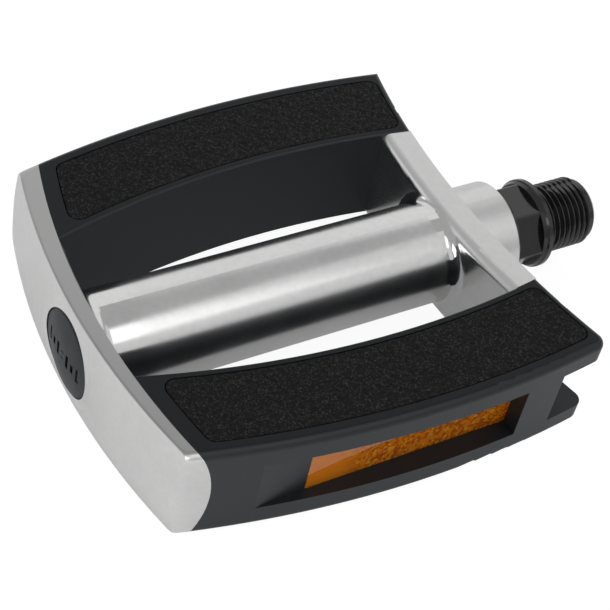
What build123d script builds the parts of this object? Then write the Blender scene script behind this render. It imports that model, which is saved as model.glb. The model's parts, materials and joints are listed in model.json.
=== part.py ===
from build123d import *
from math import hypot, sqrt
import os

os.makedirs("parts", exist_ok=True)

# Flat bicycle pedal. +X runs along the spindle towards the crank, +Z is up.
# The origin is on the spindle axis, on the collar face that seats on the crank.

# ---- overall shape, seen from above ----
HALF_THICK = 11.1        # half the thickness of the treads and the end plate
SIDE_X = -44.2           # centre of the curve of the rear tread's outer edge; the front one mirrors it
SIDE_Y = -176.9
SIDE_R = 220.0
WALL_X = -46.0           # centre of the curve of its inner edge
WALL_Y = -161.5
WALL_R = 186.0
CRANK_X = 153.8          # centre of the hollow curve of the treads' crank-side ends
CRANK_Y = 6.1            # it lies a little behind the spindle
CRANK_R = 172.0
END_X = 43.5             # centre of the curve of the end plate's outer face
END_R = 145.0            # that face at its top and bottom edges
END_BULGE = 1.1          # how far that face swells at mid height
PLATE_X = 50.3           # centre of the curve of its inner face
PLATE_Y = -3.6           # it lies a little in front of the spindle
PLATE_R = 148.8
PLATE_BULGE = 2.5        # how far its inner face swells at mid height
END_CORNER = 3.2
CRANK_CORNER = 2.2
SKIN_ROUND = 1.5

# ---- casting ----
BARREL_R = 10.25
FOOT_R = 11.05           # the barrel spreads to this where it meets the end plate
FOOT_LENGTH = 1.9
BOSS_R = 10.8
BOSS_END = -9.25
BOSS_CHAMFER = 0.7
CROSSBAR_OUTER_R = 172.35  # the crossbar stands a little back from the treads' ends
CROSSBAR_INNER_R = 178.65
CROSSBAR_HALF = 10.9
CROSSBAR_ROUND = 1.9
HUB_ROUND = 1.9          # hollow round where the barrel meets the crossbar
CAVITY_R = 7.0
LUG_HALF = 6.4           # half height of the lugs that the treads fit over

# ---- spindle ----
THREAD_R = 7.14          # 9/16 in x 20 TPI
THREAD_PITCH = 25.4 / 20
THREAD_DEPTH = 0.72
THREAD_CREST = 0.22
THREAD_FLANK = 0.47
THREAD_TURNS = 8
THREAD_START = 1.5
SPINDLE_TIP = 12.7
TIP_CHAMFER = 0.7
COLLAR_R = 9.2
COLLAR_T = 1.5
COLLAR_EDGE = 0.3
WRENCH_FLATS = 15.0      # across the six flats
WRENCH_R = 8.55
WRENCH_END = -8.6
FLAT_START = -8.0
FLAT_END = -2.2
JOURNAL_R = 7.3
SHAFT_R = 5.11
STUD_R = 3.95
STUD_START = -86.0
STUD_SHOULDER = 1.0
STUD_TIP = -99.6

# ---- bearings: loose 1/8 in balls, each in a slightly larger groove ----
BALL_R = 3.175 / 2
GROOVE_R = BALL_R + 0.2
INNER_X = -15.2
INNER_PITCH_R = 6.9
INNER_COUNT = 13
INNER_CUP_R = 9.4
INNER_CUP_BORE_R = 6.0
INNER_CUP_SEAT = -19.2
INNER_CUP_FACE = -11.9
OUTER_X = -90.5
OUTER_PITCH_R = 6.0
OUTER_COUNT = 11
OUTER_CUP_R = 8.4
OUTER_CUP_BORE_R = 5.5
OUTER_CUP_SEAT = -86.8
OUTER_CUP_FACE = -93.4
OUTER_CONE_END = -95.4
OUTER_CONE_R = 6.4
OUTER_CONE_TOE = 0.8
WASHER_R = 6.2
WASHER_T = 1.0
NUT_T = 2.6
NUT_FLATS = 11.0
SEAL_T = 2.2
SEAL_BORE_R = 7.6

# ---- dust cap ----
CAP_R = 8.65
CAP_CROWN = -103.0
CAP_HALFWAY = -102.8     # the dome's height halfway out to the rim
CAP_RIM = -102.2
CAP_EDGE = 0.4
CAP_SEAT = -101.0
CAP_INSIDE = -101.4
CAP_SKIRT_END = -98.4
CAP_WALL = 1.0
MARK_FLOOR = -102.45     # bottom of the row of decorative bars cut in the dome
MARK_COUNT = 7
MARK_PITCH = 1.9
MARK_WIDTH = 0.9
MARK_TALL = 3.2
MARK_SHORT = 1.9

# ---- treads, pads, reflectors and screws ----
WALL = 3.0
INNER_BEVEL = 0.4
TUNNEL_Y = 34.7          # outer side of the hollow that runs through each tread
FORK_X = -21.7           # crank-side end of the outer wall
FORK_REACH = 33.0        # how far the crossbar's ends reach into the treads
PAD_THICK = 1.1
PAD_RECESS = 1.0
PAD_OUTER = 2.85         # from the tread's outer edge to the pad
PAD_INNER = 1.5          # from its inner edge
PAD_PLATE = 3.3          # from the end plate
PAD_CRANK = 1.9          # from the crank-side end
PAD_GROOVE = 0.22        # play between a pad and its recess
PAD_CORNER = 2.0
NICK_Y = 29.5
NICK_LENGTH = 2.2
NICK_DEPTH = 0.7
LENS_LEFT = -73.0
LENS_RIGHT = -30.0
LENS_HALF = 6.0
LENS_FACE = 39.1
LENS_T = 2.5
BACK_T = 1.5
BACK_LIP = 0.8
RAMP_LEFT = -83.3
RAMP_FACE = 39.6
SCREW_R = 1.5
SCREW_HEAD_R = 2.7
SCREW_HEAD_T = 1.6
SCREW_SEAT = 8.2
SCREW_TIP = -0.8
SCREW_PLAY = 0.15
CROSS_LENGTH = 2.6
CROSS_WIDTH = 0.6
CROSS_DEPTH = 1.0
PLATE_SCREW_X = -88.5    # one screw holds each tread to the end plate
PLATE_SCREW_Y = 29.5
BAR_SCREW_Y = 28.0       # the other holds it to the crossbar's end
LUG_START = -84.5
LUG_ROOT = -96.5
LUG_INNER_Y = 26.0
LUG_OUTER_Y = 33.5

FAR = 60.0
SIDES = {"front": -1, "rear": 1}
FACES = {"top": 1, "bottom": -1}


def tread_band(side, outer_margin, inner_margin):
    """Sketch one tread's curved band, drawn in from its outer and inner edges."""
    with BuildSketch() as band:
        with Locations((SIDE_X, SIDE_Y * side)):
            Circle(SIDE_R - outer_margin)
        with Locations((WALL_X, WALL_Y * side)):
            Circle(WALL_R + inner_margin, mode=Mode.SUBTRACT)
        with Locations((SIDE_X, FAR * side)):
            Rectangle(2 * FAR, 2 * FAR, mode=Mode.INTERSECT)
    return band.sketch


def ring(outer_r, inner_r, start, length):
    """Make a plain ring about the spindle axis."""
    with BuildPart() as result:
        with BuildSketch(Plane.YZ.offset(start)):
            Circle(outer_r)
            Circle(inner_r, mode=Mode.SUBTRACT)
        extrude(amount=length)
    return result.part


def finish(name, part):
    """Label a finished piece and write it to its own file."""
    part.label = name
    export_step(part, "parts/" + name + ".step")


# ---- shared shapes that trim several pieces ----
with BuildPart() as skin:
    # the whole pedal's outline, with its outer edges rounded
    with BuildSketch() as outline:
        with Locations((SIDE_X, SIDE_Y)):
            Circle(SIDE_R)
        with Locations((SIDE_X, -SIDE_Y)):
            Circle(SIDE_R, mode=Mode.INTERSECT)
        with Locations((END_X, 0)):
            Circle(END_R + END_BULGE, mode=Mode.INTERSECT)
        with Locations((CRANK_X, CRANK_Y)):
            Circle(CRANK_R, mode=Mode.SUBTRACT)
        fillet(outline.vertices().group_by(Axis.X)[0], END_CORNER)
        fillet(outline.vertices().group_by(Axis.X)[-1], CRANK_CORNER)
    extrude(amount=HALF_THICK, both=True)
    rims = skin.faces().group_by(Axis.Z)
    fillet(rims[0].edges() + rims[-1].edges(), SKIN_ROUND)

with BuildPart() as end_drum:
    # everything inside the end plate's outer face
    with BuildSketch(Plane.XZ):
        with BuildLine():
            outer_x = END_X - END_R
            outer_face = ThreePointArc(
                (outer_x, -HALF_THICK), (outer_x - END_BULGE, 0), (outer_x, HALF_THICK)
            )
            Polyline(outer_face @ 1, (END_X, HALF_THICK), (END_X, -HALF_THICK), outer_face @ 0)
        make_face()
    revolve(axis=Axis((END_X, 0, 0), (0, 0, 1)))

with BuildPart() as end_zone:
    # the end plate's room: everything outside its inner face
    with BuildSketch(Plane.XZ.offset(-PLATE_Y)):
        with BuildLine():
            inner_x = PLATE_X - PLATE_R
            inner_face = ThreePointArc(
                (inner_x, -HALF_THICK), (inner_x + PLATE_BULGE, 0), (inner_x, HALF_THICK)
            )
            Polyline(
                inner_face @ 1,
                (inner_x - FAR, HALF_THICK),
                (inner_x - FAR, -HALF_THICK),
                inner_face @ 0,
            )
        make_face()
    revolve(axis=Axis((PLATE_X, PLATE_Y, 0), (0, 0, 1)))

with BuildPart() as end_plate:
    # thickest at mid height, and curved towards both treads
    add(skin.part)
    add(end_drum.part, mode=Mode.INTERSECT)
    add(end_zone.part, mode=Mode.INTERSECT)

with BuildPart() as crossbar:
    # curved bar that joins the barrel to the treads on the crank side
    with BuildSketch():
        with Locations((CRANK_X, CRANK_Y)):
            Circle(CROSSBAR_INNER_R)
            Circle(CROSSBAR_OUTER_R, mode=Mode.SUBTRACT)
        for side in SIDES.values():
            with Locations((WALL_X, WALL_Y * side)):
                Circle(WALL_R, mode=Mode.INTERSECT)
    extrude(amount=CROSSBAR_HALF, both=True)
    top_and_bottom = crossbar.edges().filter_by(lambda e: abs(e.center().Z) > CROSSBAR_HALF - 1)
    fillet(top_and_bottom.group_by(Axis.X)[0], CROSSBAR_ROUND)
    # reduced ends that the treads' forks close over
    with BuildSketch():
        with Locations((CRANK_X, CRANK_Y)):
            Circle(CROSSBAR_INNER_R)
            Circle(CRANK_R + NICK_DEPTH, mode=Mode.SUBTRACT)
        Rectangle(2 * FAR, 2 * FORK_REACH, mode=Mode.INTERSECT)
    extrude(amount=LUG_HALF, both=True)

with BuildPart() as lugs:
    # blocks on the end plate that hold the treads' outer ends
    lug_length = LUG_START - LUG_ROOT
    lug_width = LUG_OUTER_Y - LUG_INNER_Y
    lug_x = (LUG_START + LUG_ROOT) / 2
    lug_y = (LUG_OUTER_Y + LUG_INNER_Y) / 2
    with Locations((lug_x, -lug_y), (lug_x, lug_y)):
        Box(lug_length, lug_width, 2 * LUG_HALF)


def screw_places(side):
    """Give the places of one tread's screws, on the end plate's lug and on the crossbar's end."""
    bar_y = BAR_SCREW_Y * side
    bar_middle = (CROSSBAR_OUTER_R + CROSSBAR_INNER_R) / 2
    bar_x = CRANK_X - sqrt(bar_middle**2 - (bar_y - CRANK_Y) ** 2)
    return (PLATE_SCREW_X, PLATE_SCREW_Y * side), (bar_x, bar_y)


def is_barrel_seam(edge):
    """Say whether an edge is part of the seam between the barrel and the crossbar."""
    middle = edge @ 0.5
    on_barrel = abs(hypot(middle.Y, middle.Z) - BARREL_R) < 0.01
    return on_barrel and edge.geom_type == GeomType.BSPLINE


# ---- body casting: end plate, barrel, crossbar and boss in one aluminium piece ----
with BuildPart() as body_casting:
    plate_x = PLATE_X - PLATE_R
    barrel_start = plate_x + FOOT_LENGTH
    boss_start = CRANK_X - (CROSSBAR_OUTER_R + CROSSBAR_INNER_R) / 2
    with BuildSketch(Plane.XZ):
        with BuildLine():
            Polyline(
                (plate_x, FOOT_R),
                (plate_x, 0),
                (BOSS_END, 0),
                (BOSS_END, BOSS_R - BOSS_CHAMFER),
                (BOSS_END - BOSS_CHAMFER, BOSS_R),
                (boss_start, BOSS_R),
                (boss_start, BARREL_R),
                (barrel_start, BARREL_R),
            )
            TangentArc((barrel_start, BARREL_R), (plate_x, FOOT_R), tangent=(-1, 0))
        make_face()
    revolve(axis=Axis.X)
    add(crossbar.part)
    fillet(body_casting.edges().filter_by(is_barrel_seam), HUB_ROUND)
    add(end_plate.part)
    add(lugs.part)
    # cavity and bearing seats
    with BuildSketch(Plane.XZ):
        with BuildLine():
            Polyline(
                (CAP_CROWN - 1, 0),
                (CAP_CROWN - 1, CAP_R),
                (CAP_SEAT, CAP_R),
                (CAP_SEAT, OUTER_CUP_R),
                (OUTER_CUP_SEAT, OUTER_CUP_R),
                (OUTER_CUP_SEAT, CAVITY_R),
                (INNER_CUP_SEAT, CAVITY_R),
                (INNER_CUP_SEAT, INNER_CUP_R),
                (BOSS_END + 1, INNER_CUP_R),
                (BOSS_END + 1, 0),
                close=True,
            )
        make_face()
    revolve(axis=Axis.X, mode=Mode.SUBTRACT)
    # tapped holes for the tread screws
    with BuildSketch(Plane.XY.offset(SCREW_TIP)):
        with Locations(screw_places(-1) + screw_places(1)):
            Circle(SCREW_R)
    extrude(amount=LUG_HALF - SCREW_TIP, mode=Mode.SUBTRACT)
finish("body_casting", body_casting.part)


# ---- treads: black plastic, one each side, mirror images ----
def pad_outline(side, spread):
    """Sketch a grip pad seen from above, spread outwards all round."""
    with BuildSketch() as outline:
        add(tread_band(side, PAD_OUTER - spread, PAD_INNER - spread))
        with Locations((PLATE_X, PLATE_Y)):
            Circle(PLATE_R - PAD_PLATE + spread, mode=Mode.INTERSECT)
        with Locations((CRANK_X, CRANK_Y)):
            Circle(CRANK_R + PAD_CRANK - spread, mode=Mode.SUBTRACT)
        fillet(outline.vertices(), PAD_CORNER + spread)
    return outline.sketch


def make_tread(side):
    """Make one tread: a hollow curved block, open at both ends, that holds a reflector."""
    lens_x = (LENS_LEFT + LENS_RIGHT) / 2
    lens_length = LENS_RIGHT - LENS_LEFT
    with BuildPart() as tread:
        with BuildSketch():
            add(tread_band(side, -1, 0))
        extrude(amount=HALF_THICK, both=True)
        chamfer(tread.edges().filter_by(is_inner_rim), INNER_BEVEL)
        add(skin.part, mode=Mode.INTERSECT)
        add(end_zone.part, mode=Mode.SUBTRACT)
        # tunnel from end to end
        with BuildSketch():
            add(tread_band(side, 0, WALL))
            with Locations((SIDE_X, 0)):
                Rectangle(4 * FAR, 2 * TUNNEL_Y, mode=Mode.INTERSECT)
        extrude(amount=LUG_HALF, both=True, mode=Mode.SUBTRACT)
        # mouth that takes the crossbar's end
        with BuildSketch():
            with Locations((CRANK_X, CRANK_Y)):
                Circle(CROSSBAR_INNER_R)
            Rectangle(2 * FAR, 2 * TUNNEL_Y, mode=Mode.INTERSECT)
        extrude(amount=LUG_HALF, both=True, mode=Mode.SUBTRACT)
        # the outer wall stops short, which leaves an open fork
        with BuildSketch():
            with Locations((FORK_X + FAR / 2, 0)):
                Rectangle(FAR, 2 * FAR)
        extrude(amount=LUG_HALF, both=True, mode=Mode.SUBTRACT)
        # moulded nick in the crank-side edge
        with BuildSketch():
            with Locations((CRANK_X, CRANK_Y)):
                Circle(CRANK_R + NICK_DEPTH)
            with Locations((0, NICK_Y * side)):
                Rectangle(2 * FAR, NICK_LENGTH, mode=Mode.INTERSECT)
        extrude(amount=HALF_THICK, both=True, mode=Mode.SUBTRACT)
        # window with a sloping end, and the seats for the lens and its backing
        with BuildSketch():
            with BuildLine():
                Polyline(
                    (RAMP_LEFT, RAMP_FACE * side),
                    (LENS_LEFT, LENS_FACE * side),
                    (LENS_RIGHT, LENS_FACE * side),
                    (LENS_RIGHT, FAR * side),
                    (RAMP_LEFT, FAR * side),
                    close=True,
                )
            make_face()
            with Locations((lens_x, (LENS_FACE - LENS_T / 2) * side)):
                Rectangle(lens_length, LENS_T)
        extrude(amount=LENS_HALF, both=True, mode=Mode.SUBTRACT)
        with Locations((lens_x, (LENS_FACE - LENS_T - BACK_T / 2) * side, 0)):
            Box(
                lens_length + 2 * BACK_LIP,
                BACK_T,
                2 * (LENS_HALF + BACK_LIP),
                mode=Mode.SUBTRACT,
            )
        # shallow recesses for the grip pads, above and below
        recess = pad_outline(side, PAD_GROOVE)
        for face in FACES.values():
            with BuildSketch(Plane.XY.offset(HALF_THICK * face)):
                add(recess)
            extrude(amount=-PAD_RECESS * face, mode=Mode.SUBTRACT)
        # screw holes under the top pad
        with BuildSketch(Plane.XY.offset(SCREW_SEAT)):
            with Locations(screw_places(side)):
                Circle(SCREW_HEAD_R + SCREW_PLAY)
        extrude(amount=HALF_THICK - PAD_RECESS - SCREW_SEAT, mode=Mode.SUBTRACT)
        with BuildSketch(Plane.XY.offset(LUG_HALF)):
            with Locations(screw_places(side)):
                Circle(SCREW_R + SCREW_PLAY)
        extrude(amount=SCREW_SEAT - LUG_HALF, mode=Mode.SUBTRACT)
    return tread.part


def is_inner_rim(edge):
    """Say whether an edge runs along the top or bottom of a tread's inner wall."""
    flat = edge.geom_type == GeomType.CIRCLE and abs(edge.center().Z) > HALF_THICK - 0.1
    return flat and abs(edge.radius - WALL_R) < 0.01


def make_pad(side, face):
    """Make one grip pad, which lies in its recess and stands a little proud."""
    with BuildPart() as pad:
        with BuildSketch(Plane.XY.offset((HALF_THICK - PAD_RECESS) * face)):
            add(pad_outline(side, 0))
        extrude(amount=PAD_THICK * face)
    return pad.part


def make_plate(side, near_y, far_y, lip):
    """Make a flat rectangle that stands behind the window, between two depths."""
    with BuildPart() as plate:
        with Locations(((LENS_LEFT + LENS_RIGHT) / 2, (near_y + far_y) / 2 * side, 0)):
            Box(LENS_RIGHT - LENS_LEFT + 2 * lip, far_y - near_y, 2 * (LENS_HALF + lip))
    return plate.part


def make_screws(side):
    """Make one tread's two cross-recessed screws."""
    with BuildPart() as screws:
        with BuildSketch(Plane.XY.offset(SCREW_TIP)):
            with Locations(screw_places(side)):
                Circle(SCREW_R)
        extrude(amount=SCREW_SEAT - SCREW_TIP)
        with BuildSketch(Plane.XY.offset(SCREW_SEAT)):
            with Locations(screw_places(side)):
                Circle(SCREW_HEAD_R)
        extrude(amount=SCREW_HEAD_T)
        with BuildSketch(Plane.XY.offset(SCREW_SEAT + SCREW_HEAD_T)):
            with Locations(screw_places(side)):
                Rectangle(CROSS_LENGTH, CROSS_WIDTH)
                Rectangle(CROSS_WIDTH, CROSS_LENGTH)
        extrude(amount=-CROSS_DEPTH, mode=Mode.SUBTRACT)
    return screws.part


for side_name, side in SIDES.items():
    finish(side_name + "_tread", make_tread(side))
    for face_name, face in FACES.items():
        finish(side_name + "_" + face_name + "_grip_pad", make_pad(side, face))
    lens_back = LENS_FACE - LENS_T
    finish(side_name + "_reflector_lens", make_plate(side, lens_back, LENS_FACE, 0))
    finish(side_name + "_reflector_back", make_plate(side, lens_back - BACK_T, lens_back, BACK_LIP))
    finish(side_name + "_tread_screws", make_screws(side))


# ---- spindle: black steel, with the pedal thread, collar, wrench flats and inner cone ----
with BuildPart() as spindle:
    with BuildSketch(Plane.XZ):
        with BuildLine():
            root_r = THREAD_R - THREAD_DEPTH
            groove_end = (INNER_X + GROOVE_R, INNER_PITCH_R)
            Polyline(
                (STUD_TIP, 0),
                (STUD_TIP, STUD_R - TIP_CHAMFER),
                (STUD_TIP + TIP_CHAMFER, STUD_R),
                (STUD_START, STUD_R),
                (STUD_START + STUD_SHOULDER, SHAFT_R),
                (INNER_X, SHAFT_R),
            )
            RadiusArc((INNER_X, SHAFT_R), groove_end, -GROOVE_R)
            crank_end = [
                groove_end,
                (INNER_X + GROOVE_R, JOURNAL_R),
                (WRENCH_END, JOURNAL_R),
                (WRENCH_END, WRENCH_R),
                (-COLLAR_T - TIP_CHAMFER, WRENCH_R),
                (-COLLAR_T, COLLAR_R - COLLAR_EDGE),
                (-COLLAR_T + COLLAR_EDGE, COLLAR_R),
                (-COLLAR_EDGE, COLLAR_R),
                (0, COLLAR_R - COLLAR_EDGE),
                (0, root_r),
            ]
            for turn in range(THREAD_TURNS):
                crest_start = THREAD_START + turn * THREAD_PITCH
                crest_end = crest_start + THREAD_CREST
                crank_end.append((crest_start - THREAD_FLANK, root_r))
                crank_end.append((crest_start, THREAD_R))
                crank_end.append((crest_end, THREAD_R))
            crank_end.append((crest_end + THREAD_FLANK, root_r))
            crank_end.append((SPINDLE_TIP - TIP_CHAMFER, root_r))
            crank_end.append((SPINDLE_TIP, root_r - TIP_CHAMFER))
            crank_end.append((SPINDLE_TIP, 0))
            Polyline(crank_end)
            Line((SPINDLE_TIP, 0), (STUD_TIP, 0))
        make_face()
    revolve(axis=Axis.X)
    # six wrench flats
    with BuildSketch(Plane.YZ.offset(FLAT_START)):
        Circle(FAR)
        RegularPolygon(WRENCH_FLATS / 2, 6, major_radius=False, mode=Mode.SUBTRACT)
    extrude(amount=FLAT_END - FLAT_START, mode=Mode.SUBTRACT)
finish("spindle", spindle.part)


# ---- bearings ----
with BuildPart() as inner_bearing_cup:
    with BuildSketch(Plane.XZ):
        with BuildLine():
            lip_r = INNER_PITCH_R + GROOVE_R
            Polyline(
                (INNER_CUP_FACE, lip_r),
                (INNER_CUP_FACE, INNER_CUP_R),
                (INNER_CUP_SEAT, INNER_CUP_R),
                (INNER_CUP_SEAT, INNER_CUP_BORE_R),
                (INNER_X - GROOVE_R, INNER_CUP_BORE_R),
                (INNER_X - GROOVE_R, INNER_PITCH_R),
            )
            RadiusArc((INNER_X - GROOVE_R, INNER_PITCH_R), (INNER_X, lip_r), GROOVE_R)
            Line((INNER_X, lip_r), (INNER_CUP_FACE, lip_r))
        make_face()
    revolve(axis=Axis.X)
finish("inner_bearing_cup", inner_bearing_cup.part)

with BuildPart() as outer_bearing_cup:
    with BuildSketch(Plane.XZ):
        with BuildLine():
            lip_r = OUTER_PITCH_R + GROOVE_R
            Polyline(
                (OUTER_CUP_FACE, lip_r),
                (OUTER_CUP_FACE, OUTER_CUP_R),
                (OUTER_CUP_SEAT, OUTER_CUP_R),
                (OUTER_CUP_SEAT, OUTER_CUP_BORE_R),
                (OUTER_X + GROOVE_R, OUTER_CUP_BORE_R),
                (OUTER_X + GROOVE_R, OUTER_PITCH_R),
            )
            RadiusArc((OUTER_X + GROOVE_R, OUTER_PITCH_R), (OUTER_X, lip_r), -GROOVE_R)
            Line((OUTER_X, lip_r), (OUTER_CUP_FACE, lip_r))
        make_face()
    revolve(axis=Axis.X)
finish("outer_bearing_cup", outer_bearing_cup.part)

with BuildPart() as outer_cone:
    # threaded cone that sets the bearing play
    with BuildSketch(Plane.XZ):
        with BuildLine():
            track_r = OUTER_PITCH_R - GROOVE_R
            RadiusArc((OUTER_X - GROOVE_R, OUTER_PITCH_R), (OUTER_X, track_r), -GROOVE_R)
            Polyline(
                (OUTER_X, track_r),
                (OUTER_X + OUTER_CONE_TOE, track_r),
                (OUTER_X + OUTER_CONE_TOE, STUD_R),
                (OUTER_CONE_END, STUD_R),
                (OUTER_CONE_END, OUTER_CONE_R),
                (OUTER_X - GROOVE_R, OUTER_CONE_R),
                (OUTER_X - GROOVE_R, OUTER_PITCH_R),
            )
        make_face()
    revolve(axis=Axis.X)
finish("outer_cone", outer_cone.part)

with BuildPart(Plane.YZ.offset(INNER_X)) as inner_balls:
    with PolarLocations(INNER_PITCH_R, INNER_COUNT):
        Sphere(BALL_R)
finish("inner_balls", inner_balls.part)

with BuildPart(Plane.YZ.offset(OUTER_X)) as outer_balls:
    with PolarLocations(OUTER_PITCH_R, OUTER_COUNT):
        Sphere(BALL_R)
finish("outer_balls", outer_balls.part)

washer_start = OUTER_CONE_END - WASHER_T
finish("keyed_washer", ring(WASHER_R, STUD_R, washer_start, WASHER_T))

with BuildPart() as lock_nut:
    with BuildSketch(Plane.YZ.offset(washer_start - NUT_T)):
        RegularPolygon(NUT_FLATS / 2, 6, major_radius=False)
        Circle(STUD_R, mode=Mode.SUBTRACT)
    extrude(amount=NUT_T)
finish("lock_nut", lock_nut.part)

finish("dust_seal", ring(INNER_CUP_R, SEAL_BORE_R, INNER_CUP_FACE, SEAL_T))


# ---- dust cap: pressed into the end plate over the lock nut ----
with BuildPart() as dust_cap:
    with BuildSketch(Plane.XZ):
        with BuildLine():
            crown = ThreePointArc(
                (CAP_CROWN, 0),
                (CAP_HALFWAY, CAP_R / 2),
                (CAP_RIM, CAP_R - CAP_EDGE),
            )
            Polyline(
                crown @ 1,
                (CAP_RIM + CAP_EDGE, CAP_R),
                (CAP_SEAT, CAP_R),
                (CAP_SEAT, OUTER_CUP_R),
                (CAP_SKIRT_END, OUTER_CUP_R),
                (CAP_SKIRT_END, OUTER_CUP_R - CAP_WALL),
                (CAP_INSIDE, OUTER_CUP_R - CAP_WALL),
                (CAP_INSIDE, 0),
                crown @ 0,
            )
        make_face()
    revolve(axis=Axis.X)
    # plain bars cut into the dome, tall and short in turn
    with BuildSketch(Plane.YZ.offset(MARK_FLOOR)):
        for place in range(MARK_COUNT):
            bar_y = MARK_PITCH * (place - (MARK_COUNT - 1) / 2)
            with Locations((bar_y, 0)):
                Rectangle(MARK_WIDTH, MARK_SHORT if place % 2 else MARK_TALL)
    extrude(amount=CAP_CROWN - MARK_FLOOR, mode=Mode.SUBTRACT)
finish("dust_cap", dust_cap.part)
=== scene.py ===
"""The looks of a flat bicycle pedal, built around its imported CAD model.

Everything is in metres, in the part's frame: +X runs along the spindle towards the crank,
+Z is up, and the origin is where the spindle's collar seats on the crank.
"""

import json
import math
import random

import bmesh
import bpy
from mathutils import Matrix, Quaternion, Vector, geometry, noise


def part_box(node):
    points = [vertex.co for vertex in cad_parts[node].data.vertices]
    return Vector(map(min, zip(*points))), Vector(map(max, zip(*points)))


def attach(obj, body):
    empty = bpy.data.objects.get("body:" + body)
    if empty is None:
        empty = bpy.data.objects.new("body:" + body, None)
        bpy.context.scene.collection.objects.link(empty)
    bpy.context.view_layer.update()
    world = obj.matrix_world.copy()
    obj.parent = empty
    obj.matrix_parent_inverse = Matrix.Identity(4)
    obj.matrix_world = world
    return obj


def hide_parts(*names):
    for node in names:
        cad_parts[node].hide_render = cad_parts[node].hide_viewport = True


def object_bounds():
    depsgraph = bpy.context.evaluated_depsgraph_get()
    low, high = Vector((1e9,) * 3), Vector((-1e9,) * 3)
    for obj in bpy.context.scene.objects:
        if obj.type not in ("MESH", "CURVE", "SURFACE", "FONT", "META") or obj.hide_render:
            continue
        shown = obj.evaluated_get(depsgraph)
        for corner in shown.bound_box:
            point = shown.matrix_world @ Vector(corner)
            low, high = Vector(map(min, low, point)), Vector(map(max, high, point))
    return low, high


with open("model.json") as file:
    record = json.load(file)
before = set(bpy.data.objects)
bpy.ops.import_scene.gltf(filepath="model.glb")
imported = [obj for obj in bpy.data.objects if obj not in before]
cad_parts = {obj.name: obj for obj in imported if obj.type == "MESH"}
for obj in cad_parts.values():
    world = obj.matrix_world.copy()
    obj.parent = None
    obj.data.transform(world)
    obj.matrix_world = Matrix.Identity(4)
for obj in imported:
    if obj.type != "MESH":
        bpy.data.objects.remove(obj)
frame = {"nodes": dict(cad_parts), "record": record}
cad_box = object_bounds()

MM = 0.001
SIDES = {"front": -1, "rear": 1}
FACES = {"top": 1, "bottom": -1}

# ---- camera, floor and light ----
CAMERA_PLACE = Vector((-0.1936, -0.1807, 0.2316))
CAMERA_TARGET = Vector((-0.0540, -0.0030, -0.0020))
CAMERA_ROLL = math.radians(13.25)
LENS_MM = 100.1
SENSOR_MM = 36.0

FLOOR_SIZE = 40.0
FLOOR_GAP = 0.0002                         # below the object, and between the two sheets of the floor
WORLD_LEVEL = 0.45
OBJECT_MIDDLE = Vector((-0.05, 0, 0))
FRONT_CORNER = Vector((-0.12, -0.10, 0))

# ---- places on the object that the materials follow ----
BAR_CENTRE = Vector((153.8, 6.1, 0)) * MM  # centre of the crossbar's curve
BAR_INNER_R = 178.65 * MM                  # radius of its inner face
TURNED_R = 10.5 * MM                       # the turned barrel lies within this radius
CAST_R = 10.9 * MM                         # and the plain casting beyond this one
PLATE_NEAR = -88.0 * MM                    # where the end plate's smoother finish and its painted shade fade in
PLATE_FAR = -93.0 * MM
PLATE_SHADE_FROM = 10.7 * MM                      # height at which the end plate's edges, darkened with painted shade, start
PLATE_TOP = 11.05 * MM
TREAD_FLAT = 11.0 * MM                     # height above which a tread is flat
TREAD_TOP = 11.08 * MM
CAP_CROWN = 103.0 * MM                     # distance of the cap's crown from the origin
CAP_DOME_R = 45.0 * MM
CAP_FACE_R = 7.0 * MM                      # the cap's bars lie within this radius
LENS_GLINTS_END = -68.0 * MM                    # the painted glints of the prisms fade out beyond this, leaving the lens plain towards the end plate
LENS_GLINTS_FULL = -58.0 * MM                  # and are full from here to the crank
RINGS_PER_METRE = 9000.0                   # turning rings on the bearing steel

# ---- grip pads: the bed of grains ----
GRAIN_SPACING = 0.34 * MM
GRAIN_SCATTER = 0.3                        # of the spacing
GRAIN_DEPTH = 0.28 * MM
GRAIN_SIZE = 0.75 * MM
GRAIN_RISE = 1.1
CLUMP_SIZE = 1.9 * MM
CLUMP_RISE = 0.35
PAD_RIM_DROP = 0.6                         # of the depth

# ---- reflector lenses: the prisms at their back ----
PRISM_PITCH = 1.5 * MM
PRISM_TIP_GAP = 0.1 * MM
LENS_RIM = 0.55 * MM
LENS_WEB = 1.3 * MM


# ---------------------------------------------------------------- materials

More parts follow.
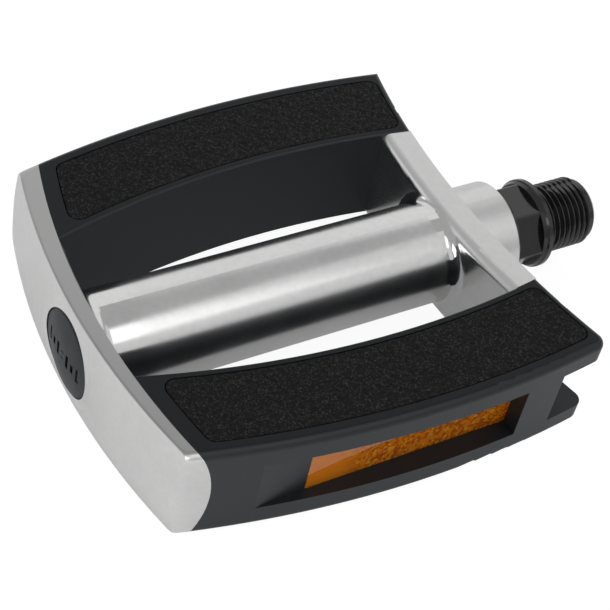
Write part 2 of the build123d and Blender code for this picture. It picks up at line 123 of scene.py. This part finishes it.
class Surface:
    """A procedural material: one Principled shader and the nodes that feed it."""

    def __init__(self, name):
        self.material = bpy.data.materials.new(name)
        self.material.use_nodes = True
        self.tree = self.material.node_tree
        self.shader = self.tree.nodes["Principled BSDF"]
        self.place = self.add("ShaderNodeTexCoord").outputs["Object"]
        self.x, self.y, self.z = self.add("ShaderNodeSeparateXYZ", Vector=self.place).outputs

    def add(self, kind, settings=None, **inputs):
        """Add a node, with its settings and its inputs, which are values or other nodes' outputs."""
        node = self.tree.nodes.new(kind)
        for name, value in (settings or {}).items():
            setattr(node, name, value)
        for name, value in inputs.items():
            self.feed(node.inputs[name], value)
        return node

    def feed(self, socket, value):
        """Link a socket to an output, or give it a plain value."""
        if isinstance(value, bpy.types.NodeSocket):
            self.tree.links.new(value, socket)
        else:
            socket.default_value = value

    def math(self, operation, a, b=0.0):
        """Work out one number from one or two."""
        node = self.add("ShaderNodeMath", {"operation": operation})
        for socket, value in zip(node.inputs, (a, b)):
            self.feed(socket, value)
        return node.outputs[0]

    def distance(self, *parts):
        """Work out the length of a vector from its parts."""
        squares = [self.math("MULTIPLY", part, part) for part in parts]
        total = squares[0]
        for square in squares[1:]:
            total = self.math("ADD", total, square)
        return self.math("SQRT", total)

    def step(self, value, start, end, low=0.0, high=1.0):
        """Turn smoothly from low to high as value goes from start to end."""
        node = self.add("ShaderNodeMapRange", {"interpolation_type": "SMOOTHSTEP"})
        for name, number in zip(("Value", "From Min", "From Max", "To Min", "To Max"),
                                (value, start, end, low, high)):
            self.feed(node.inputs[name], number)
        return node.outputs["Result"]

    def stretched(self, scale):
        """Stretch the coordinates, for a grain that runs one way."""
        return self.add("ShaderNodeMapping", Vector=self.place, Scale=scale).outputs[0]

    def noise(self, size, detail=2.0, roughness=0.5, place=None):
        """Cloudy noise with features of about one size, in metres."""
        node = self.add("ShaderNodeTexNoise", Vector=place or self.place, Scale=1 / size,
                        Detail=detail, Roughness=roughness)
        return node.outputs["Fac"]

    def shades(self, size):
        """Three random numbers for each cell of about one size, in metres."""
        cells = self.add("ShaderNodeTexVoronoi", Vector=self.place, Scale=1 / size)
        return self.add("ShaderNodeSeparateColor", Color=cells.outputs["Color"]).outputs

    def mix(self, factor, a, b):
        """Blend two colours."""
        node = self.add("ShaderNodeMix", {"data_type": "RGBA"})
        colours = [socket for socket in node.inputs if socket.type == "RGBA"]
        self.feed(node.inputs["Factor"], factor)
        self.feed(colours[0], a)
        self.feed(colours[1], b)
        return [socket for socket in node.outputs if socket.type == "RGBA"][0]

    def bump(self, height, depth, strength=1.0, under=None):
        """Raise the surface by a height map, of a depth in metres, over an earlier bump."""
        node = self.add("ShaderNodeBump", Height=height, Distance=depth, Strength=strength)
        if under is not None:
            self.feed(node.inputs["Normal"], under)
        return node.outputs["Normal"]

    def finish(self, **values):
        """Give the shader its values, with underscores for the spaces in their names."""
        for name, value in values.items():
            self.feed(self.shader.inputs[name.replace("_", " ")], value)
        return self.material


def grey(level, warmth=0.0):
    """A neutral colour, a little warm or, below zero, a little cool."""
    return (level * (1 + warmth), level, level * (1 - warmth), 1.0)


def cast_aluminium():
    """Satin cast aluminium, turned on the barrel and polished on the crossbar's inner face; the end
    plate's top and bottom edges are darkened with painted shade.
    """
    s = Surface("cast_aluminium")
    barrel = s.step(s.distance(s.y, s.z), CAST_R, TURNED_R)
    from_crank = s.distance(s.math("SUBTRACT", s.x, BAR_CENTRE.x),
                            s.math("SUBTRACT", s.y, BAR_CENTRE.y))
    polished = s.math("MULTIPLY",
                      s.step(from_crank, BAR_INNER_R - 0.3 * MM, BAR_INNER_R - 0.05 * MM),
                      s.step(from_crank, BAR_INNER_R + 3 * MM, BAR_INNER_R + 2 * MM))
    plate = s.step(s.x, PLATE_NEAR, PLATE_FAR)
    # painted shade: the end plate's top and bottom edges are made darker in colour, standing for the
    # darker light they catch
    rim = s.math("MULTIPLY", s.step(s.math("ABSOLUTE", s.z), PLATE_SHADE_FROM, PLATE_TOP), plate)
    clouds = s.noise(11 * MM, 3, 0.5)
    mottle = s.noise(1.3 * MM, 4, 0.6)
    tone = s.math("ADD", s.math("MULTIPLY", clouds, 0.5), s.math("MULTIPLY", mottle, 0.5))
    colour = s.mix(s.step(tone, 0.3, 0.7), grey(0.70, 0.002), grey(0.76, 0.004))
    # painted shade on the end plate's top and bottom edges
    colour = s.mix(rim, colour, grey(0.46, 0.002))
    rough = s.step(clouds, 0.3, 0.7, 0.36, 0.40)
    for smoother, part in ((0.15, barrel), (0.08, plate), (0.2, polished)):
        rough = s.math("SUBTRACT", rough, s.math("MULTIPLY", part, smoother))
    turned = s.noise(1 * MM, 3, 0.6, s.stretched((9.0, 0.35, 0.35)))
    blasted = s.noise(0.22 * MM, 3, 0.6)
    grain = s.bump(blasted, 0.012 * MM, 0.2)
    grain = s.bump(s.math("MULTIPLY", turned, barrel), 0.01 * MM, 0.15, grain)
    return s.finish(Base_Color=colour, Metallic=1.0, Roughness=rough, Normal=grain)


def black_steel():
    """Glossy black-finished steel with a trace of turning marks."""
    s = Surface("black_steel")
    turned = s.noise(1 * MM, 2, 0.6, s.stretched((12.0, 0.4, 0.4)))
    smears = s.noise(4 * MM, 3, 0.6)
    colour = s.mix(smears, grey(0.004, 0.02), grey(0.010, 0.04))
    rough = s.step(smears, 0.3, 0.75, 0.12, 0.22)
    return s.finish(Base_Color=colour, Metallic=0.0, Roughness=rough, Specular_IOR_Level=0.5,
                    Coat_Weight=0.3, Coat_Roughness=0.06,
                    Normal=s.bump(turned, 0.01 * MM, 0.25))


def bright_steel():
    """Ground bearing steel: fine rings about the spindle and a faint oil tint."""
    s = Surface("bright_steel")
    radius = s.distance(s.y, s.z)
    rings = s.add("ShaderNodeTexNoise", {"noise_dimensions": "1D"}, W=radius,
                  Scale=RINGS_PER_METRE, Detail=2.0).outputs["Fac"]
    oil = s.noise(3 * MM, 3, 0.6)
    colour = s.mix(oil, grey(0.50, 0.01), grey(0.62, 0.03))
    rough = s.step(oil, 0.3, 0.7, 0.18, 0.3)
    return s.finish(Base_Color=colour, Metallic=1.0, Roughness=rough,
                    Normal=s.bump(rings, 0.01 * MM, 0.3))


def black_plastic():
    """Moulded black plastic: a very fine texture, faint flow marks, and duller on the flat rims."""
    s = Surface("black_plastic")
    texture = s.noise(0.12 * MM, 2, 0.5)
    flow = s.noise(7 * MM, 3, 0.6)
    colour = s.mix(flow, grey(0.011, -0.16), grey(0.014, -0.18))
    flat = s.step(s.math("ABSOLUTE", s.z), TREAD_FLAT, TREAD_TOP)
    rough = s.math("ADD", s.step(flow, 0.3, 0.7, 0.37, 0.40), s.math("MULTIPLY", flat, 0.1))
    return s.finish(Base_Color=colour, Roughness=rough,
                    Specular_IOR_Level=s.step(flat, 0.0, 1.0, 0.42, 0.2),
                    Specular_Tint=(0.93, 0.97, 1.0, 1), Normal=s.bump(texture, 0.012 * MM, 0.3))


def grip_grit():
    """Black abrasive sheet: fine dark grains, some of them painted a little paler as glints."""
    s = Surface("grip_grit")
    pick = s.shades(0.24 * MM)[0]
    # painted glints: a few grains painted paler, and a little smoother, stand for the glints of the
    # grit
    bright = s.step(pick, 0.7, 1.0)
    patches = s.noise(1.4 * MM, 3, 0.6)
    base = s.mix(patches, grey(0.003, 0.01), grey(0.007, 0.01))
    colour = s.mix(bright, base, grey(0.030, 0.02))
    rough = s.step(pick, 0.6, 1.0, 0.7, 0.5)
    fine = s.noise(0.1 * MM, 2, 0.6)
    return s.finish(Base_Color=colour, Roughness=rough, Specular_IOR_Level=0.18,
                    Normal=s.bump(fine, 0.02 * MM, 0.4))


def amber_lens():
    """Amber plastic: plain towards the end plate, and elsewhere broken into bright and dark cells with
    bright sparkles, all painted glints of the prisms.
    """
    s = Surface("amber_lens")
    dust = s.noise(1.5 * MM, 3, 0.6)
    shades = s.shades(0.75 * MM)
    # painted glints: bright and dark cells and sparkles painted into the colour stand for the light the
    # prisms catch, fading out towards the end plate
    painted_glint_mask = s.step(s.x, LENS_GLINTS_END, LENS_GLINTS_FULL)
    painted_facet_glints = s.mix(s.step(shades[1], 0.2, 0.9), (0.62, 0.14, 0.002, 1), (1.0, 0.33, 0.005, 1))
    plain = s.mix(dust, (0.94, 0.30, 0.006, 1), (1.0, 0.35, 0.010, 1))
    # painted sparkle: a few cells painted pale orange as glints
    painted_sparkle = s.math("MULTIPLY", painted_glint_mask, s.step(shades[0], 0.84, 0.92))
    colour = s.mix(painted_sparkle, s.mix(painted_glint_mask, plain, painted_facet_glints), (1.0, 0.52, 0.04, 1))
    return s.finish(Base_Color=colour, Transmission_Weight=0.62, IOR=1.49, Specular_IOR_Level=0.3,
                    Roughness=s.step(dust, 0.3, 0.8, 0.02, 0.06))


def lens_backing():
    """Bright silvered plate behind the lens."""
    s = Surface("lens_backing")
    flow = s.noise(3 * MM, 2, 0.5)
    colour = s.mix(flow, grey(0.72, 0.03), grey(0.84, 0.04))
    return s.finish(Base_Color=colour, Roughness=s.step(flow, 0.3, 0.7, 0.4, 0.5),
                    Normal=s.bump(flow, 0.02 * MM, 0.3))


def cap_plastic():
    """Dark grey satin plastic; the bars cut in the dome are darker and glossier."""
    s = Surface("cap_plastic")
    texture = s.noise(0.15 * MM, 2, 0.5)
    flow = s.noise(5 * MM, 3, 0.5)
    radius = s.distance(s.y, s.z)
    dome = s.math("MULTIPLY", s.math("MULTIPLY", radius, radius), 1 / (2 * CAP_DOME_R))
    depth = s.math("SUBTRACT", s.math("ADD", s.x, CAP_CROWN), dome)
    face = s.step(radius, CAP_FACE_R + 0.2 * MM, CAP_FACE_R)
    mark = s.math("MULTIPLY", s.step(depth, 0.04 * MM, 0.14 * MM), face)
    plain = s.mix(flow, grey(0.020, -0.16), grey(0.028, -0.18))
    colour = s.mix(mark, plain, grey(0.012))
    rough = s.math("SUBTRACT", s.step(flow, 0.3, 0.7, 0.36, 0.44), s.math("MULTIPLY", mark, 0.15))
    return s.finish(Base_Color=colour, Roughness=rough, Specular_IOR_Level=0.2,
                    Specular_Tint=(0.88, 0.94, 1.0, 1), Normal=s.bump(texture, 0.012 * MM, 0.3))


def seal_rubber():
    """Matt black rubber."""
    s = Surface("seal_rubber")
    texture = s.noise(0.3 * MM, 3, 0.6)
    colour = s.mix(texture, grey(0.012), grey(0.024))
    return s.finish(Base_Color=colour, Roughness=s.step(texture, 0.3, 0.7, 0.6, 0.75),
                    Normal=s.bump(texture, 0.03 * MM, 0.4))


MATERIALS = {
    "cast_aluminium": cast_aluminium(),
    "black_steel": black_steel(),
    "bright_steel": bright_steel(),
    "black_plastic": black_plastic(),
    "grip_sheet": grip_grit(),
    "amber_lens": amber_lens(),
    "lens_backing": lens_backing(),
    "cap_plastic": cap_plastic(),
    "seal_rubber": seal_rubber(),
}


def dress_cad_nodes():
    """Give each CAD node the material of the slot that the record names for it."""
    for part in frame["record"]["subparts"]:
        node = frame["nodes"][part["node"]]
        node.data.materials.clear()
        node.data.materials.append(MATERIALS[part["material_slot"]])


# ---------------------------------------------------------------- pieces

def new_piece(name, mesh, slot, body, *replaced):
    """Put a finished mesh in the scene as a piece that rides on a body and stands for CAD nodes."""
    piece = bpy.data.objects.new(name, mesh)
    bpy.context.scene.collection.objects.link(piece)
    mesh.materials.append(MATERIALS[slot])
    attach(piece, body)
    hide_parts(*replaced)


def outline_of(node_name, height):
    """The closed loop of a CAD node's points at one height, in order round the loop."""
    mesh = frame["nodes"][node_name].data
    shape = bmesh.new()
    shape.from_mesh(mesh)
    bmesh.ops.remove_doubles(shape, verts=shape.verts, dist=0.001 * MM)
    level = {v for v in shape.verts if abs(v.co.z - height) < 0.01 * MM}
    rim = [e for e in shape.edges if e.verts[0] in level and e.verts[1] in level
           and any(abs(f.normal.z) < 0.5 for f in e.link_faces)]
    after = {}
    for edge in rim:
        for a, b in (edge.verts, reversed(edge.verts)):
            after.setdefault(a, []).append(b)
    start = rim[0].verts[0]
    loop = [start]
    previous, current = start, after[start][0]
    while current is not start:
        loop.append(current)
        onward = [v for v in after[current] if v is not previous][0]
        previous, current = current, onward
    points = [Vector((v.co.x, v.co.y)) for v in loop]
    shape.free()
    return points


def grain_drop(x, y):
    """How far the grains stand below the highest ones at one place, from 0 to 1."""
    near = noise.voronoi(Vector((x, y, 0)) / GRAIN_SIZE)[0]
    clump = noise.noise(Vector((x, y, 0)) / CLUMP_SIZE)
    return min(1.0, max(0.0, near[0] * GRAIN_RISE + CLUMP_RISE * clump))


def spaced_along(loop, spacing):
    """Points at about one spacing, all the way round a closed loop."""
    points = []
    for i, a in enumerate(loop):
        b = loop[(i + 1) % len(loop)]
        steps = max(1, round((b - a).length / spacing))
        points += [a.lerp(b, n / steps) for n in range(steps)]
    return points


def scattered_over(low, high, spacing):
    """Points in staggered rows over a box, each one moved a little at random."""
    row_step = spacing * math.sqrt(3) / 2
    scatter = GRAIN_SCATTER * spacing
    points = []
    for row in range(int((high.y - low.y) / row_step)):
        for column in range(int((high.x - low.x) / spacing)):
            x = low.x + spacing * (column + 0.5 * (row % 2)) + random.uniform(-1, 1) * scatter
            y = low.y + row_step * row + random.uniform(-1, 1) * scatter
            points.append(Vector((x, y)))
    return points


def close_pad(shape, inner):
    """Close a bed of grains with straight sides down to its inner side."""
    border = [e for e in shape.edges if e.is_boundary]
    side = bmesh.ops.extrude_edge_only(shape, edges=border)["geom"]
    for vert in side:
        if isinstance(vert, bmesh.types.BMVert):
            vert.co.z = inner
    bmesh.ops.contextual_create(shape, geom=[e for e in shape.edges if e.is_boundary])
    bmesh.ops.recalc_face_normals(shape, faces=shape.faces)


def grip_pad(name, node_name, face, seed):
    """A grip pad whose outer side is a bed of real grains, over the CAD pad's outline."""
    low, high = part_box(node_name)
    outer, inner = (high.z, low.z) if face > 0 else (low.z, high.z)
    random.seed(seed)
    rim_points = spaced_along(outline_of(node_name, outer), GRAIN_SPACING)
    rim_count = len(rim_points)
    rim_edges = [(i, (i + 1) % rim_count) for i in range(rim_count)]
    points = rim_points + scattered_over(low, high, GRAIN_SPACING)
    places, _, triangles, origins, _, _ = geometry.delaunay_2d_cdt(points, rim_edges, [], 1, 0.02 * MM)
    shape = bmesh.new()
    verts = []
    for place, sources in zip(places, origins):
        on_rim = any(source < rim_count for source in sources)
        drop = PAD_RIM_DROP if on_rim else grain_drop(place.x, place.y)
        verts.append(shape.verts.new((place.x, place.y, outer - face * GRAIN_DEPTH * drop)))
    for triangle in triangles:
        shape.faces.new([verts[i] for i in triangle])
    close_pad(shape, inner)
    mesh = bpy.data.meshes.new(name)
    shape.to_mesh(mesh)
    shape.free()
    for polygon in mesh.polygons:
        polygon.use_smooth = abs(polygon.normal.z) > 0.3
    new_piece(name, mesh, "grip_sheet", "pedal_body", node_name)


def lens_block(shape, low, high, front, root):
    """The lens's plain block, with a thin frame round the open back where its prisms go."""
    bmesh.ops.create_cube(shape, size=1.0)
    size = Vector((high.x - low.x, abs(root - front), high.z - low.z))
    centre = Vector(((low.x + high.x) / 2, (front + root) / 2, (low.z + high.z) / 2))
    for vert in shape.verts:
        vert.co = Vector([vert.co[i] * size[i] + centre[i] for i in range(3)])
    back_face = min(shape.faces, key=lambda f: abs(f.calc_center_median().y - root))
    bmesh.ops.inset_region(shape, faces=[back_face], thickness=LENS_RIM)
    bmesh.ops.delete(shape, geom=[back_face], context="FACES_ONLY")


def prism_rows(shape, low, high, root):
    """Staggered rows of points inside the lens's frame, where the prisms' corners meet."""
    x0, x1 = low.x + LENS_RIM, high.x - LENS_RIM
    z0, z1 = low.z + LENS_RIM, high.z - LENS_RIM
    columns = round((x1 - x0) / PRISM_PITCH)
    count = round((z1 - z0) / (PRISM_PITCH * math.sqrt(3) / 2))
    rows = []
    for row in range(count + 1):
        shift = 0.5 * (row % 2)
        z = z0 + (z1 - z0) * row / count
        xs = [x0] + [x0 + (x1 - x0) * (c + shift) / columns for c in range(columns + 1)] + [x1]
        xs = sorted(set(round(min(max(x, x0), x1), 7) for x in xs))
        rows.append([shape.verts.new((x, root, z)) for x in xs])
    return rows


def triangles_between(lower, upper):
    """Triangles that fill the strip between two rows of points, from left to right."""
    i = j = 0
    while i < len(lower) - 1 or j < len(upper) - 1:
        upper_done = j == len(upper) - 1
        lower_open = i < len(lower) - 1
        if upper_done or (lower_open and lower[i + 1].co.x + lower[i].co.x
                          <= upper[j + 1].co.x + upper[j].co.x):
            yield lower[i], lower[i + 1], upper[j]
            i += 1
        else:
            yield lower[i], upper[j + 1], upper[j]
            j += 1


def add_prism(shape, corners, height):
    """Raise a three-sided prism on a triangle; a cut-off triangle gets a lower one."""
    middle = sum((v.co for v in corners), Vector()) / 3
    whole = PRISM_PITCH * PRISM_PITCH * math.sqrt(3) / 4
    rise = height * min(1.0, geometry.area_tri(*[v.co for v in corners]) / whole)
    apex = shape.verts.new(middle + Vector((0, rise, 0)))
    for n in range(3):
        shape.faces.new((corners[n], corners[(n + 1) % 3], apex))


def reflector_lens(name, node_name, side):
    """A flat amber lens: smooth outside, and rows of three-sided prisms in a thin frame at its back."""
    low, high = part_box(node_name)
    front, back = (low.y, high.y) if side < 0 else (high.y, low.y)
    inward = -side
    root = front + inward * LENS_WEB
    tip = back - inward * PRISM_TIP_GAP
    shape = bmesh.new()
    lens_block(shape, low, high, front, root)
    rows = prism_rows(shape, low, high, root)
    for lower, upper in zip(rows, rows[1:]):
        for corners in triangles_between(lower, upper):
            add_prism(shape, corners, tip - root)
    bmesh.ops.remove_doubles(shape, verts=shape.verts, dist=0.002 * MM)
    holes = [e for e in shape.edges if e.is_boundary]
    bmesh.ops.triangle_fill(shape, use_beauty=True, edges=holes)
    bmesh.ops.recalc_face_normals(shape, faces=shape.faces)
    mesh = bpy.data.meshes.new(name)
    shape.to_mesh(mesh)
    shape.free()
    new_piece(name, mesh, "amber_lens", "pedal_body", node_name)


dress_cad_nodes()
for side_name, side in SIDES.items():
    for face_name, face in FACES.items():
        pad_node = f"{side_name}_{face_name}_grip_pad"
        grip_pad(pad_node + "_grit", pad_node, face, 10 * side + face)
    lens_node = f"{side_name}_reflector_lens"
    reflector_lens(lens_node + "_prisms", lens_node, side)


# ---------------------------------------------------------------- stage

def stage_plane(name, height, material):
    """A large level sheet under the object."""
    mesh = bpy.data.meshes.new(name)
    reach = FLOOR_SIZE / 2
    corners = [(reach * x, reach * y, height) for x, y in ((-1, -1), (1, -1), (1, 1), (-1, 1))]
    mesh.from_pydata(corners, [], [(0, 1, 2, 3)])
    mesh.materials.append(material)
    plane = bpy.data.objects.new(name, mesh)
    bpy.context.scene.collection.objects.link(plane)
    return plane


def glowing_white():
    """The floor that the camera sees: a white light table, with only a trace of shadow."""
    s = Surface("floor_white")
    return s.finish(Base_Color=grey(0.18), Roughness=1.0, Specular_IOR_Level=0.0,
                    Emission_Color=grey(1.0), Emission_Strength=0.92)


def paper_white():
    """The floor that lights and mirrors the object: matt white paper."""
    s = Surface("floor_paper")
    return s.finish(Base_Color=grey(0.88), Roughness=0.9, Specular_IOR_Level=0.2,
                    Emission_Color=grey(1.0), Emission_Strength=0.15)


def panel_light(name, direction, distance, size, radiance, target=OBJECT_MIDDLE):
    """A rectangular soft light that faces a target from a direction, as bright as its radiance."""
    width, height = size
    data = bpy.data.lights.new(name, "AREA")
    data.shape = "RECTANGLE"
    data.size = width
    data.size_y = height
    data.energy = radiance * math.pi * width * height
    light = bpy.data.objects.new(name, data)
    bpy.context.scene.collection.objects.link(light)
    aim = Vector(direction).normalized()
    light.location = target + aim * distance
    light.rotation_euler = (-aim).to_track_quat("-Z", "Y").to_euler()


def set_world(level):
    """Even light from all round."""
    world = bpy.data.worlds.new("studio")
    world.use_nodes = True
    world.node_tree.nodes["Background"].inputs["Color"].default_value = grey(level)
    bpy.context.scene.world = world


def set_camera():
    """The camera, at the photograph's viewing angle."""
    data = bpy.data.cameras.new("camera")
    data.lens = LENS_MM
    data.sensor_width = SENSOR_MM
    data.clip_start = 0.01
    camera = bpy.data.objects.new("camera", data)
    bpy.context.scene.collection.objects.link(camera)
    camera.location = CAMERA_PLACE
    facing = (CAMERA_TARGET - CAMERA_PLACE).to_track_quat("-Z", "Y")
    camera.rotation_euler = (facing @ Quaternion((0, 0, 1), CAMERA_ROLL)).to_euler()
    bpy.context.scene.camera = camera


floor_height = cad_box[0].z - FLOOR_GAP
floor = stage_plane("floor", floor_height, glowing_white())
floor.visible_diffuse = False
floor.visible_glossy = False
floor.visible_transmission = False
floor.visible_shadow = False
paper = stage_plane("floor_paper", floor_height - FLOOR_GAP, paper_white())
paper.visible_camera = False

set_world(WORLD_LEVEL)
panel_light("far_panel", direction=(0.56, 0.71, 0.46), distance=1.0, size=(1.7, 0.85), radiance=0.40)
panel_light("front_panel", direction=(0.28, -0.62, 0.70), distance=1.0, size=(1.5, 1.0), radiance=0.28)
panel_light("key_panel", direction=(0.20, -0.52, 0.82), distance=1.0, size=(0.42, 0.5), radiance=0.75)
panel_light("ridge_panel", direction=(-0.73, 0.59, 0.30), distance=1.0, size=(0.4, 0.35), radiance=1.0)
panel_light("corner_panel", direction=(-0.62, -0.50, 0.60), distance=0.18, size=(0.14, 0.14),
            radiance=2.3, target=FRONT_CORNER)
set_camera()
bpy.context.scene.view_settings.view_transform = "Standard"
